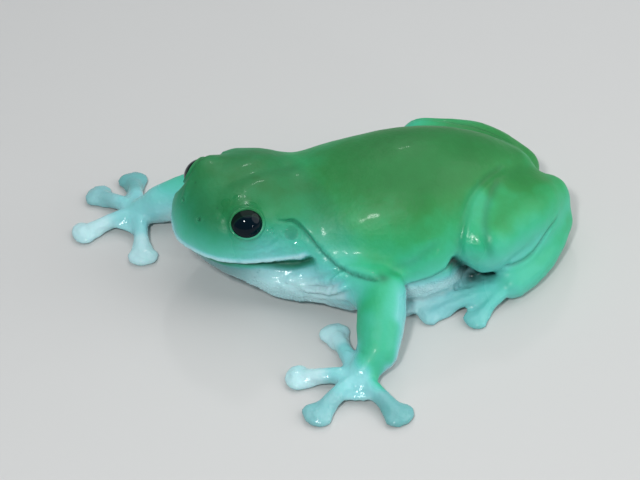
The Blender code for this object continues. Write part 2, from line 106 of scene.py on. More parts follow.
def merged(node):  # a copy of a CAD node's mesh with its loose triangles joined
    work = bmesh.new()
    work.from_mesh(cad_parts[node].data)
    bmesh.ops.remove_doubles(work, verts=work.verts, dist=1e-7)
    return work


def keep(name, mesh):
    made = bpy.data.objects.new(name, mesh)
    bpy.context.scene.collection.objects.link(made)
    return made


def baked(made):  # the object's modifiers taken into its mesh
    graph = bpy.context.evaluated_depsgraph_get()
    mesh = bpy.data.meshes.new_from_object(made.evaluated_get(graph))
    made.modifiers.clear()
    made.data = mesh
    return made


# the head's own axes: x forward, y to the frog's left, z up, from the middle of the eyes

headPose = {"noseUp": 4.0}  # degrees


def middleOf(node):
    low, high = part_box(node)
    return np.array((low + high) / 2) / mm


eyeMiddle = {side: middleOf(side + "_eye") for side in ("left", "right")}
headOrigin = (eyeMiddle["left"] + eyeMiddle["right"]) / 2
headLeft = eyeMiddle["left"] - eyeMiddle["right"]
headLeft /= np.linalg.norm(headLeft)
headFlat = np.cross(headLeft, (0, 0, 1))
noseUp = math.radians(headPose["noseUp"])
headForward = headFlat * math.cos(noseUp) + np.array((0, 0, 1)) * math.sin(noseUp)
headUp = np.cross(headForward, headLeft)
headAxes = np.array((headForward, headLeft, headUp))


def toHead(points):
    return (points - headOrigin) @ headAxes.T


def fromHead(points):
    return np.asarray(points, float) @ headAxes + headOrigin


def fromEyes(places):  # along the model's own axes, from the middle of the eyes
    return np.asarray(places, float) + headOrigin


# the skin's basic form

skinForm = {
    "closeGaps": 0.2,  # how far each solid is pushed out, so that the parting cuts close
    "grid": 0.62,
    # balls that close the hollow inside the folded left knee, from the middle of the eyes
    "kneeFill": ((59.5, -21.4, -22.6), (62, -22, -22.6), (64.3, -23.2, -22.6)),
    "kneeFillRadius": 2.9,
    "digitHeight": 7,  # below this, hands and feet keep their small forms
    "digitSwell": 0.28,  # how much broader the fingers become
    "bodyPasses": 46,
    "limbPasses": 16,
    "digitPasses": 5,
}
eyeNodes = ("left_eye", "right_eye")
fleshNodes = [name for name in sorted(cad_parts) if name not in eyeNodes]
allNodes = [*fleshNodes, *eyeNodes]


def wholeFlesh():
    work = bmesh.new()
    for node in sorted(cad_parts):
        part = merged(node)
        part.normal_update()
        push = skinForm["closeGaps"] * mm
        for vertex in part.verts:
            vertex.co += vertex.normal * push
        mesh = bpy.data.meshes.new(node)
        part.to_mesh(mesh)
        work.from_mesh(mesh)
        part.free()
    for place in skinForm["kneeFill"]:
        shift = Matrix.Translation(Vector(fromEyes(place)) * mm)
        radius = skinForm["kneeFillRadius"] * mm
        bmesh.ops.create_icosphere(work, subdivisions=2, radius=radius, matrix=shift)
    mesh = bpy.data.meshes.new("skin")
    work.to_mesh(mesh)
    work.free()
    made = keep("skin", mesh)
    remesh = made.modifiers.new("closed", "REMESH")
    remesh.mode = "VOXEL"
    remesh.voxel_size = skinForm["grid"] * mm
    return baked(made)


def nodeOfPoints(points):  # index into allNodes of the solid nearest to each point
    corners, triangles, owners = [], [], []
    for index, name in enumerate(allNodes):
        part = merged(name)
        part.verts.ensure_lookup_table()
        start = len(corners)
        corners += [vertex.co.copy() for vertex in part.verts]
        for face in part.faces:
            triangles.append([vertex.index + start for vertex in face.verts])
            owners.append(index)
        part.free()
    tree = BVHTree.FromPolygons(corners, triangles)
    return np.array([owners[tree.find_nearest(Vector(point) * mm)[2]] for point in points])


def smoothedForm(points, edges, weight, passes):  # rounds the facets and keeps the larger forms
    soft = averaged(points, edges, passes, weight)
    return soft + averaged(points - soft, edges, passes, weight)


def refined(mesh, wanted):  # the faces between wanted points are divided in four
    work = bmesh.new()
    work.from_mesh(mesh)
    work.verts.ensure_lookup_table()
    chosen = [edge for edge in work.edges if wanted[edge.verts[0].index] and wanted[edge.verts[1].index]]
    bmesh.ops.subdivide_edges(work, edges=chosen, cuts=1, use_grid_fill=True)
    work.to_mesh(mesh)
    work.free()
    mesh.update()


limbGroups = {
    "head": ("head", "lower_jaw", "left_ear", "right_ear", "left_eye", "right_eye"),
    "trunk": ("trunk",),
}
for side in ("left", "right"):
    fingers = tuple(f"{side}_finger_{number}" for number in range(1, 5))
    limbGroups |= {
        side + "UpperArm": (side + "_upper_arm",),
        side + "Forearm": (side + "_forearm",),
        side + "Hand": (side + "_hand", *fingers),
        side + "Thigh": (side + "_thigh",),
        side + "Shank": (side + "_shank",),
        side + "Foot": (side + "_foot",),
    }


def sharesOf(points, edges, passes):  # how far each point belongs to each group, with soft borders
    nearest = nodeOfPoints(points)
    shares = {}
    for group, nodes in limbGroups.items():
        inside = np.isin(nearest, [allNodes.index(node) for node in nodes]).astype(float)
        shares[group] = averaged(inside, edges, passes)
    return shares


skin = wholeFlesh()
report(f"skin closed, {len(skin.data.polygons)} faces")

points, edges = pointsOf(skin.data), edgesOf(skin.data)
kinds = [re.sub("_[1-4]$", "", name).split("_")[-1] for name in allNodes]
kinds = np.array(kinds)[nodeOfPoints(points)]
bodyLike = np.isin(kinds, ("head", "jaw", "ear", "eye", "trunk"))
digitLike = np.isin(kinds, ("finger", "hand", "foot"))
nearFloor = points[:, 2] < skinForm["digitHeight"]
low = averaged((digitLike & nearFloor).astype(float), edges, 6)
bodyShare = averaged(bodyLike.astype(float), edges, 8)
# three strengths of smoothing, from the digits to the body
points = smoothedForm(points, edges, 0.5 * (1 - 0.9 * low), skinForm["digitPasses"])
points = smoothedForm(points, edges, 0.5 * (1 - low), skinForm["limbPasses"])
points = smoothedForm(points, edges, 0.5 * bodyShare * (1 - low), skinForm["bodyPasses"])
setPoints(skin.data, points)
points -= normalsOf(skin.data) * skinForm["closeGaps"]
points[:, 2] = np.maximum(points[:, 2], 0)
setPoints(skin.data, points)
report("skin smoothed")

around = normalsOf(skin.data)
around[:, 2] = 0
digits = averaged(((kinds == "finger") & (points[:, 2] < skinForm["digitHeight"])).astype(float), edges, 6)
points += around * (skinForm["digitSwell"] * digits)[:, None]
setPoints(skin.data, points)

# the hollows between folded limbs fill, as skin stretches over them

bridges = {  # two groups that lie on each other, and how wide the skin spans them
    ("leftThigh", "leftShank"): 2.2,
    ("leftShank", "leftFoot"): 3.0,
    ("leftThigh", "trunk"): 1.6,
    ("rightThigh", "rightShank"): 2.2,
    ("rightShank", "rightFoot"): 2.0,
    ("rightThigh", "trunk"): 1.6,
    ("head", "trunk"): 0.6,
}
spanForm = {
    "borderPasses": 26,  # how wide the groups' borders are
    "setsIn": (2.0, 5.0),  # heights
    "rounds": 8,
    "passes": 10,
    "pull": 0.9,
}
wideShares = sharesOf(points, edges, spanForm["borderPasses"])
spanned = np.zeros(len(points))
for (one, two), reach in bridges.items():
    spanned = np.maximum(spanned, np.clip(reach * 4 * wideShares[one] * wideShares[two], 0, 1))
spanned *= step(*spanForm["setsIn"], points[:, 2])
for _ in range(spanForm["rounds"]):
    setPoints(skin.data, points)
    normals = normalsOf(skin.data)
    for _ in range(spanForm["passes"]):
        mean = averaged(points, edges, 1, spanForm["pull"] * spanned)
        points = points + normals * np.maximum(((mean - points) * normals).sum(axis=1), 0)[:, None]
points = smoothedForm(points, edges, 0.5 * spanned, 8)
setPoints(skin.data, points)
report("hollows spanned")

# finer faces where the skin has small forms

fineZones = {  # in the head's axes, mirrored: middle, reach
    "eye": ((0, 11.2, 0), 8.4),
    "snout": ((8, 5, -6), 10.5),
    "jaw": ((-6, 17, -8), 9.5),
    "ear": ((-11.6, 17.3, -3.4), 6.0),
}


def nearZone(points, zone, scale=1.0):
    middle, reach = fineZones[zone]
    head = toHead(points)
    head[:, 1] = abs(head[:, 1])
    return np.linalg.norm(head - middle, axis=1) < reach * scale


wanted = np.any([nearZone(points, zone) for zone in fineZones], axis=0)
refined(skin.data, wanted)
points, edges = pointsOf(skin.data), edgesOf(skin.data)
fine = np.any([nearZone(points, zone, 1.05) for zone in fineZones], axis=0)
points = averaged(points, edges, 3, 0.5 * fine)
setPoints(skin.data, points)
report(f"head refined, {len(skin.data.polygons)} faces")

# the lids close in on each eyeball

eyeForm = {  # the opening's size is 1 at its edge, and rim and groove lie just outside it
    "radius": 4.9,
    "axisTurn": 20.0,  # forward of straight out, degrees
    "axisRise": 16.0,
    "openingTurn": 24.0,  # the lids' opening faces higher than the eyeball does
    "openingRise": {1: 33.0, -1: 20.0},  # the right upper lid is lower
    "openingWide": 53.0,  # half angles of the opening
    "openingHigh": 45.5,
    "middle": {1: (0.0, 11.2, 0.0), -1: (0.3, -10.5, -1.0)},  # left, right
    "reach": 8.6,  # how far from the eyeball's middle the lids go
    "gap": 0.35,  # between the eyeball and the skin over it
    "lidUnder": 4.4,  # where the skin passes under the eyeball
    "lidEnd": 1.5,
    "rim": 0.19,
    "rimAt": 1.06,
    "rimWidth": 0.05,
    "groove": 0.1,
    "grooveAt": 1.24,
    "grooveWidth": 0.06,
    "fineAt": 1.05,  # where the faces are finer
    "fineWidth": 0.28,
    "fineReach": 7.2,
}


def direction(turn, rise, sideways):
    turn, rise = math.radians(turn), math.radians(rise)
    ahead, outward = math.sin(turn), sideways * math.cos(turn)
    return np.array((ahead * math.cos(rise), outward * math.cos(rise), math.sin(rise)))


def openingAngle(local, sideways):  # 1 at the edge of the lids' opening, 0 at its middle
    axis = direction(eyeForm["openingTurn"], eyeForm["openingRise"][sideways], sideways)
    along = np.cross((0, 0, 1), axis)
    along /= np.linalg.norm(along)
    rise = np.cross(axis, along)
    unit = local / np.linalg.norm(local, axis=1)[:, None]
    angle = np.degrees(np.arccos(np.clip(unit @ axis, -1, 1)))
    across, upward = unit @ along, unit @ rise
    size = np.maximum(np.hypot(across, upward), 1e-9)
    limit = 1 / np.hypot(across / size / eyeForm["openingWide"], upward / size / eyeForm["openingHigh"])
    return angle / limit


def shapeLids(points):
    head = toHead(points)
    for sideways in (1, -1):
        middle = np.array(eyeForm["middle"][sideways])
        local = head - middle
        radius = np.linalg.norm(local, axis=1)
        near = np.flatnonzero(radius < eyeForm["reach"])
        local, radius = local[near], radius[near]
        opening = openingAngle(local, sideways)
        fade = step(eyeForm["reach"] - 0.2, eyeForm["reach"] - 2, radius)
        snug = eyeForm["radius"] + eyeForm["gap"]
        natural = np.maximum(radius, snug)
        natural += (snug - natural) * step(eyeForm["lidEnd"], 1.15, opening)
        target = natural + eyeForm["rim"] * bell(opening - eyeForm["rimAt"], eyeForm["rimWidth"]) * fade
        target -= eyeForm["groove"] * bell(opening - eyeForm["grooveAt"], eyeForm["grooveWidth"]) * fade
        target = np.where(opening < eyeForm["lidEnd"], target, radius)
        inside = step(1.03, 0.94, opening)
        target = target + (eyeForm["lidUnder"] - target) * inside
        blend = np.maximum(step(eyeForm["lidEnd"], eyeForm["lidEnd"] - 0.2, opening), inside)
        head[near] = middle + local / radius[:, None] * (radius + (target - radius) * blend)[:, None]
    return fromHead(head)


def eyeDistance(points):
    head = toHead(points)
    sideways = np.where(head[:, 1] > 0, 1, -1)
    places = {side: np.array(place) for side, place in eyeForm["middle"].items()}
    local = head - np.where(sideways[:, None] > 0, places[1], places[-1])
    opening = np.where(sideways > 0, openingAngle(local, 1), openingAngle(local, -1))
    return opening, np.linalg.norm(local, axis=1)


opening, radius = eyeDistance(points)
fine = (abs(opening - eyeForm["fineAt"]) < eyeForm["fineWidth"]) & (radius < eyeForm["fineReach"])
refined(skin.data, fine)
points, edges = pointsOf(skin.data), edgesOf(skin.data)
opening, radius = eyeDistance(points)
fine = abs(opening - eyeForm["fineAt"]) < eyeForm["fineWidth"] + 0.02
points = averaged(points, edges, 4, 0.5 * (fine & (radius < eyeForm["fineReach"] + 0.2)))
points = shapeLids(points)
setPoints(skin.data, points)
report(f"lids shaped, {len(skin.data.polygons)} faces")

# folds, lips and pits are laid along lines on the skin


def curved(points, spacing=0.35):  # evenly spaced points on a smooth curve through those given
    points = np.asarray(points, float)
    ends = np.vstack((2 * points[0] - points[1], points, 2 * points[-1] - points[-2]))
    found = []
    for a, b, c, d in zip(ends, ends[1:], ends[2:], ends[3:]):
        count = max(2, int(np.linalg.norm(c - b) / spacing))
        for t in np.arange(count) / count:
            bend = 2 * b + (c - a) * t + (2 * a - 5 * b + 4 * c - d) * t**2 + (3 * b - a - 3 * c + d) * t**3
            found.append(bend / 2)
    found.append(points[-1])
    return np.array(found)


def laid(places):  # a smooth line through the places, dropped on the skin
    found = [skin.closest_point_on_mesh(Vector(point) * mm)[1] for point in places]
    found = np.array([tuple(point) for point in found]) / mm
    for _ in range(4):
        found[1:-1] = (found[:-2] + 2 * found[1:-1] + found[2:]) / 4
    return found


def besideLine(line, reach):  # which points are near, how far to which side, where along, and how surely
    low, high = line.min(axis=0) - reach, line.max(axis=0) + reach
    near = np.flatnonzero(((points > low) & (points < high)).all(axis=1))
    gaps = ((points[near][:, None] - line) ** 2).sum(axis=-1)
    nearest = gaps.argmin(axis=1)
    close = gaps[np.arange(len(near)), nearest] < reach**2
    near, nearest = near[close], nearest[close]
    tangents = np.gradient(line, axis=0)
    away = points[near] - line[nearest]
    facing = normals[near]
    depth = (away * facing).sum(axis=1)
    away -= facing * depth[:, None]
    side = np.cross(facing, tangents[nearest])
    distance = np.linalg.norm(away, axis=1) * np.where((away * side).sum(axis=1) < 0, -1, 1)
    return near, distance, nearest / (len(line) - 1), bell(depth, reach * 0.8)


def endsOf(share, taper):
    return step(0, taper, share) * step(0, taper, 1 - share)


def addCrease(line, depth, width, taper=0.15, lips=0.35, dark=0.5):
    near, distance, share, weight = besideLine(line, width * 5 + 1)
    weight = weight * endsOf(share, taper)
    shoulders = lips * (bell(distance - 2.1 * width, width * 1.2) + bell(distance + 2.1 * width, width * 1.2))
    height[near] += depth * weight * (shoulders - bell(distance, width))
    # painted shade darkens the crease's floor
    shade[near] = np.maximum(shade[near], dark * weight * bell(distance, width * 0.9))


def addRidge(line, lift, width, taper=0.2):
    near, distance, share, weight = besideLine(line, width * 3 + 1)
    height[near] += lift * weight * endsOf(share, taper) * bell(distance, width)


def gapTo(place):
    return np.linalg.norm(points - place, axis=1)


def addPit(place, depth, width, rim=0.3, dark=0.8):
    distance = gapTo(laid([place])[0])
    height[:] += depth * (rim * bell(distance - 1.9 * width, width * 0.7) - bell(distance, width))
    # the pit is darkened: painted shade in the nostrils and the armpit, a small dark mark of the skin at the
    # snout's spot
    np.maximum(shade, dark * bell(distance, width), out=shade)


def raiseSkin():  # the heights gathered so far are taken into the skin
    global points, normals
    points = points + normals * height[:, None]
    points[:, 2] = np.maximum(points[:, 2], 0)
    setPoints(skin.data, points)
    normals = normalsOf(skin.data)
    height[:] = 0


def bothSides(places):
    return [fromHead([(x, y * sideways, z) for x, y, z in places]) for sideways in (1, -1)]


def addLedge(line, rise, drop, reach, notch, width, flip, dark):  # one side of the line stands over the other
    near, distance, share, weight = besideLine(line, reach * 2.2)
    distance = distance * flip
    weight = weight * endsOf(share, 0.12)
    over = step(-width, width, distance) * bell(distance, reach)
    below = step(width, -width, distance) * bell(distance, reach * 0.6)
    height[near] += weight * (rise * over - drop * below - notch * bell(distance + width, width))
    # painted shade under the overhanging side
    shade[near] = np.maximum(shade[near], dark * weight * bell(distance + width * 1.2, width * 1.3))


headForms = {  # in the head's axes
    "mouth": [
        (12.3, 2.9, -9.6), (10.9, 7.8, -9.5), (7.5, 12.1, -9.8), (3.3, 14.7, -10.2),
        (-2, 16.8, -10.6), (-7, 18.4, -10.6), (-10.5, 20.2, -9.8), (-12.4, 21.8, -8.4),
        (-13.3, 22.6, -7),
    ],
    "mouthFront": (13.2, 0, -10.1),
    "pushes": (  # place, reach, how far out
        ((12.5, -0.8, -0.5), 8.5, -2.2),
        ((13.6, 0, -8.5), 5.0, 0.9),
        ((3.5, 11, -16.5), 4.0, 0.7),
        ((-0.5, 15.1, -17.4), 3.6, 2.2),
        ((-6.0, 21.3, -19.6), 4.5, -1.4),
    ),
    "nostril": (10.3, 4.7, 0.1),
    "spot": (5.4, 5.9, 3.0),
    "earFold": [
        (-6.4, 14.2, 0.7), (-9, 15.3, 0.3), (-10.9, 15.9, 0.4), (-12.4, 17.5, -0.9), (-13.7, 20.5, -3),
        (-14.6, 23, -4.8), (-16, 25.8, -6.6), (-17.4, 29.5, -7.6), (-18.7, 33.1, -7.3), (-20.5, 36.7, -6.6),
        (-22.5, 39.2, -6.2), (-24.6, 39.4, -6),
    ],
    "rightFoldEnd": 6,
    "snoutRidge": [(5.2, 8.8, 2.6), (8.4, 6.6, 1.8), (10.8, 4.4, 1.2)],
    "cheekFold": [(6.5, 11.2, -4.6), (1.5, 14.2, -5.6), (-4, 16.4, -5.2), (-7.5, 17.4, -3.4)],
    "cheekBump": (-10.5, 19.3, -6.2),
    "trough": [(6, 0, 3.4), (-2, 0, 4.6), (-10, 0, 5.2), (-18, 0, 4.2), (-24, 0, 4)],
    "glints": [  # small wet swellings, from the middle of the eyes
        (2, -6.1, 4.7), (-1.2, -6.2, 4.1), (5, -10.2, 4.7), (-1.3, -14.2, -0.3), (0.5, -15.1, -3.4),
        (2.4, -15.2, -3.4), (15, -16.8, -6.9), (-8.2, -8.4, 2.2), (6.6, -14.4, -3), (8.2, -14.3, -1.4),
        (7, -14.2, -4.6),
    ],
    "glintLift": 0.07,
    "glintReach": 0.4,
    "cheekLift": 0.5,
    "cheekReach": 1.7,
    "ear": (-9.8, 17.2, -2.7),
    "earRadius": 1.9,
    "earDepth": 0.1,
    "armpit": (32.4, -31.8, -7.8),  # from the middle of the eyes
}
mouthForm = {  # heights are counted up from the mouth's line
    "reach": 6.5,
    "depth": 0.8,
    "width": 0.4,
    "gapeWidth": 1.1,
    "gapeDrop": 1.0,  # how far under the lip the rear of the mouth opens
    "gapeEnd": -2.6,
    "rimLift": 0.35,
    "rimAt": 0.9,
    "rimWidth": 0.7,
    "lipTop": 2.2,
    "frontTuck": 0.7,  # how far the lower jaw stands back under the lip
    "rearTuck": 1.0,
    "tuckEnd": -6.5,
    # painted shade in the rear of the mouth's slit, and painted shadow on the lower jaw under the lip
    "rearDark": 0.75,
    "jawDark": 0.6,
}

normals = normalsOf(skin.data)
# heights, and how far each point is mixed towards the dark colour: painted shade in creases, pits, the mouth
# and hollows, and the skin's darker tones
height, shade = np.zeros(len(points)), np.zeros(len(points))
left, right = bothSides(headForms["mouth"])
mouthLine = laid(curved(np.vstack((left[::-1], [fromHead(headForms["mouthFront"])], right))))
shares = sharesOf(points, edges, 14)
near, distance, share, weight = besideLine(mouthLine, mouthForm["reach"])
weight = weight * step(0.1, 0.4, shares["head"][near]) * endsOf(share, 0.04)
above = distance * np.sign((mouthLine[40] - mouthLine[20]) @ headAxes[1])
backness = step(0.32, 0.14, np.minimum(share, 1 - share))  # 0 round the snout, 1 at the mouth's corners
cut = mouthForm["width"] + (mouthForm["gapeWidth"] - mouthForm["width"]) * backness
below = mouthForm["gapeDrop"] * backness
tuck = mouthForm["frontTuck"] + (mouthForm["rearTuck"] - mouthForm["frontTuck"]) * backness
height[near] -= weight * mouthForm["depth"] * (1 + backness) * bell(above + below, cut)
height[near] += weight * mouthForm["rimLift"] * bell(above - mouthForm["rimAt"], mouthForm["rimWidth"])
tucked = step(0.15, -1.1, above) * step(mouthForm["tuckEnd"], mouthForm["tuckEnd"] + 3.5, above)
height[near] -= weight * tuck * tucked
# the mouth's slit and rear gape are darkened with painted shade, and the lower jaw under the front of the lip
# with a painted shadow
cutShade = (1 - (1 - mouthForm["rearDark"]) * backness) * bell(above + 0.2 + below, cut * 1.15)
jawShade = mouthForm["jawDark"] * (1 - backness) * step(0, -0.4, above) * step(-6, -0.5, above)
shade[near] = weight * np.maximum(cutShade, jawShade)
lipShare = np.zeros(len(points))
lipShare[near] = weight * step(mouthForm["lipTop"], mouthForm["lipTop"] - 0.8, above) * step(-0.3, 0.2, above)
gape = np.zeros(len(points))
gape[near] = weight * step(0.3, -0.1, above) * step(mouthForm["gapeEnd"], mouthForm["gapeEnd"] + 1, above)
for place, reach, push in headForms["pushes"]:
    height += push * bell(gapTo(fromHead(place)), reach)
for line in bothSides(headForms["snoutRidge"]):
    addRidge(laid(curved(line)), lift=0.3, width=1.1, taper=0.3)
for line in bothSides(headForms["cheekFold"]):
    addCrease(laid(curved(line)), depth=0.08, width=0.6, taper=0.3, lips=0.5, dark=0.0)
for sideways, line in zip((1, -1), bothSides(headForms["earFold"])):
    line = laid(curved(line if sideways > 0 else line[: headForms["rightFoldEnd"]]))
    addLedge(line, rise=0.65, drop=0.4, reach=2.6, notch=0.22, width=0.3, flip=sideways, dark=0.5)
line = laid(curved(fromHead(headForms["trough"])))
addCrease(line, depth=0.4, width=2.2, taper=0.25, lips=0.5, dark=0.0)
for [place] in bothSides([headForms["nostril"]]):
    addPit(place, depth=0.7, width=0.5)
for [place] in bothSides([headForms["spot"]]):
    addPit(place, depth=0.05, width=0.7, rim=0, dark=0.65)
for [place] in bothSides([headForms["cheekBump"]]):
    height += headForms["cheekLift"] * bell(gapTo(laid([place])[0]), headForms["cheekReach"])
earShare = np.zeros(len(points))
for [place] in bothSides([headForms["ear"]]):
    distance = gapTo(laid([place])[0]) / headForms["earRadius"]
    height -= headForms["earDepth"] * step(1.15, 0.7, distance)
    earShare = np.maximum(earShare, step(1.15, 0.85, distance))
addPit(fromEyes(headForms["armpit"]), depth=0.2, width=1.6, rim=0, dark=0.5)
for place in headForms["glints"]:
    height += headForms["glintLift"] * bell(gapTo(laid([fromEyes(place)])[0]), headForms["glintReach"])
raiseSkin()
report("head carved")

# creases where limbs fold, and the skin's own folds

limbCreases = (
    ("rightThigh", "rightShank", 0.7),
    ("rightShank", "rightFoot", 0.6),
    ("rightThigh", "trunk", 0.45),
    ("leftFoot", "trunk", 0.6),
    ("rightFoot", "trunk", 0.6),
    ("rightUpperArm", "trunk", 0.3),
)
bodyFolds = {  # from the middle of the eyes: line, depth, width, lips, dark (how much painted shade fills the crease)
    "kneeCrease": (
        [(70.9, -9.9, -0.4), (66.1, -16, -1.7), (62.6, -21.7, -3.6), (61, -28, -5.9), (62.1, -30.6, -12.1)],
        0.4, 1.3, 0.0, 0.3,
    ),
    "heelCrease": (
        [
            (64.8, -29.6, -14.4), (70, -26.1, -16.7), (73.8, -24.7, -16.1), (80, -21.9, -12.4),
            (84.9, -17.7, -11.7),
        ],
        0.5, 0.5, 0.3, 0.42,
    ),
    # the gap under the left knee, darkened with painted shade
    "kneeGap": (
        [
            (51.4, -27.4, -10.4), (53.3, -26.7, -12.6), (55.2, -26.4, -15), (57.4, -25.1, -18),
            (59.4, -24, -21),
        ],
        1.6, 1.9, 0.0, 1.0,
    ),
    "flank": (
        [
            (31.9, -32.1, -7.8), (35.3, -29.7, -8.8), (38.2, -27.1, -9.8), (41.3, -27.4, -9.6),
            (45.5, -27, -7), (49.6, -25.6, -4.5),
        ],
        0.4, 1.3, 0.3, 0.12,
    ),
    "chestHigh": (
        [
            (26.4, -24.4, -7.8), (22.2, -24.6, -10), (18.8, -22, -12.8), (14.6, -19.9, -15),
            (10.2, -18.8, -16.2),
        ],
        0.45, 0.65, 0.6, 0.06,
    ),
    "chestMiddle": (
        [(25.5, -27.5, -9.5), (22, -26, -13), (18, -22.5, -15.6), (13, -20, -16.4), (8.5, -17.5, -15.2)],
        0.4, 0.55, 0.6, 0.04,
    ),
    "chestLow": (
        [(25.1, -30.5, -11.6), (21.6, -26.6, -15.6), (17.6, -22.3, -17.8), (12.3, -20.5, -17.3)],
        0.4, 0.55, 0.6, 0.04,
    ),
    "chestShort": ([(23.9, -24.1, -8.8), (21, -25, -12.1), (21.6, -26.6, -15.6)], 0.3, 0.5, 0.6, 0.04),
    "wrist": ([(18.8, -40, -22.5), (21.8, -42, -20.7), (23.6, -47.8, -17)], 0.2, 0.5, 0.4, 0.0),
}
padForm = {
    "radius": 2.3,
    "groove": 0.16,
    "width": 0.26,
    "dome": 0.18,
    "height": 4,  # no further than this over or under the pad
    "knuckle": 0.16,
    "knuckleAt": 2.6,  # in pad radii from the tip
    "knuckleReach": 1.3,
}
for side in ("left", "right"):
    for number in (1, 2, 3, 4):
        finger = pointsOf(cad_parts[f"{side}_finger_{number}"].data)
        ahead = finger.mean(axis=0) - middleOf(side + "_hand")
        ahead[2] = 0
        ahead /= np.linalg.norm(ahead)
        reached = finger @ ahead
        tip = finger[reached > reached.max() - 1.2].mean(axis=0)
        pad = tip - ahead * padForm["radius"] * 0.8
        away = (points - pad) * (1, 1, 0)
        onTop = step(-0.1, 0.4, normals[:, 2]) * (abs(points[:, 2] - pad[2]) < padForm["height"])
        forward = step(-1.2, 0.2, away @ ahead)
        gap = np.linalg.norm(away, axis=1)
        height -= padForm["groove"] * onTop * forward * bell(gap - padForm["radius"] * 0.72, padForm["width"])
        height += padForm["dome"] * onTop * bell(gap, padForm["radius"] * 0.5)
        knuckle = tip - ahead * padForm["radius"] * padForm["knuckleAt"]
        height += padForm["knuckle"] * bell(gapTo(knuckle), padForm["knuckleReach"])
for one, two, depth in limbCreases:
    meeting = np.clip(4 * shares[one] * shares[two], 0, 1) ** 3
    height -= depth * meeting
    # painted shade where the two groups meet
    shade = np.maximum(shade, 0.5 * depth * meeting)
for line, depth, width, lips, dark in bodyFolds.values():
    addCrease(laid(curved(fromEyes(line))), depth, width, taper=0.16, lips=lips, dark=dark)
chestRolls = (
    [(25.9, -26, -8.6), (22.1, -25.3, -11.5), (18.4, -22.2, -14.2), (13.8, -20, -15.7), (9.3, -18.1, -15.7)],
    [(25.3, -29, -10.5), (21.8, -26.3, -14.3), (17.8, -22.4, -16.7), (12.7, -20.2, -16.9)],
)
for line in chestRolls:
    addRidge(laid(curved(fromEyes(line))), lift=0.85, width=0.8)
thighEdge = [
    (73, -7, -2), (70.9, -9.9, -0.4), (65.8, -13.7, 0.5), (59.7, -18.9, -0.5), (55.7, -25.2, -7),
    (56.2, -27.6, -12.5),
]
bellyEdge = [
    (37, -28, -15.5), (39.5, -28.3, -15.2), (44.7, -28.6, -14.3), (50.2, -27.9, -12.8), (53.8, -26.7, -11.4),
]
line = laid(curved(fromEyes(thighEdge)))
addLedge(line, rise=0.5, drop=0.3, reach=3.4, notch=0.1, width=0.8, flip=1, dark=0.2)
line = laid(curved(fromEyes(bellyEdge)))
addLedge(line, rise=0.4, drop=0.6, reach=1.8, notch=0.2, width=0.6, flip=1, dark=0.15)
raiseSkin()

crumples = {  # how far apart, how high on the back and on the soft skin
    "reach": 2.2,
    "lift": 0.05,
    "softLift": 0.16,
    "setsIn": (0.6, 2.5),  # heights
    "footSetsIn": (60, 50),  # how far behind the eyes
    "patches": (  # from the middle of the eyes: place, reach, lift, how far apart
        ((9, -14.5, -4.5), 4.5, 0.2, 1.3),
        ((16, -22, -15), 8.0, 0.3, 2.2),
        ((48, -28, -20), 9.0, 0.32, 2.0),
        ((-2, -9, 3), 3.0, 0.1, 1.2),
    ),
}
footShare = np.maximum(shares["leftFoot"], shares["rightFoot"])
behindEyes = points[:, 0] - headOrigin[0]
under = np.maximum(step(0.2, -0.5, normals[:, 2]), footShare * step(*crumples["footSetsIn"], behindEyes))
waves = np.array([noise.noise(Vector(point) / crumples["reach"]) for point in points])
lift = crumples["lift"] + (crumples["softLift"] - crumples["lift"]) * under
height += waves * lift * step(*crumples["setsIn"], points[:, 2])
for place, reach, lift, apart in crumples["patches"]:
    distance = gapTo(fromEyes(place))
    near = np.flatnonzero(distance < reach * 2)
    waves = np.array([noise.noise(Vector(point) / apart) for point in points[near]])
    height[near] += lift * bell(distance[near], reach) * waves
raiseSkin()
report("limbs creased")

# how pale and how wet the skin is at each point, from the green back to the white throat

paleness = {  # at the middle; the change per centimetre forward, outward and upward; where the skin faces up
    "trunk": (0.55, 0.02, -0.04, -0.13, -0.32),
    "UpperArm": (0.63, 0.33, 0.0, -0.17, -0.11),
    "leftForearm": (0.65, -0.29, 0.14, -0.12, -0.21),
    "rightForearm": (0.72, 0.2, -0.2, -0.12, -0.2),
    "Hand": (0.84, 0.0, 0.0, -0.1, -0.05),
    "Thigh": (0.24, 0.16, 0.08, -0.06, -0.05),
    "Shank": (0.38, 0.0, 0.16, -0.24, -0.05),
    "Foot": (0.62, 0.08, -0.1, -0.3, 0.02),
}
headLevels = (  # height and paleness
    (-18, 0.97), (-14, 0.88), (-11, 0.72), (-8, 0.6), (-4, 0.46), (0, 0.3), (4, 0.16),
)
headDarkening = {"more": 0.36, "ahead": 0.4, "setsIn": (-9.0, 1.0)}  # the head is mixed further towards the dark colour, most of all at the snout
# a painted highlight: the wet cheek behind and under each eye is made paler
cheekHighlight = {"place": (-3, 15.5, -4), "reach": 6.0, "more": 0.16}
fingerTones = ((1, 1.0, 0), (2, 1.0, 0), (3, 0.84, 0.2), (4, 0.78, 0.3))  # number, paleness, shade
tones = {
    "least": 0.05,
    "leastOnArms": 0.3,
    "bellyMore": 0.4,
    "bellySetsIn": (11.5, 8.5),  # heights
    "lip": 0.95,
    "mouth": 0.42,
    "handBack": 0.42,  # kept where it reaches the outermost finger
}
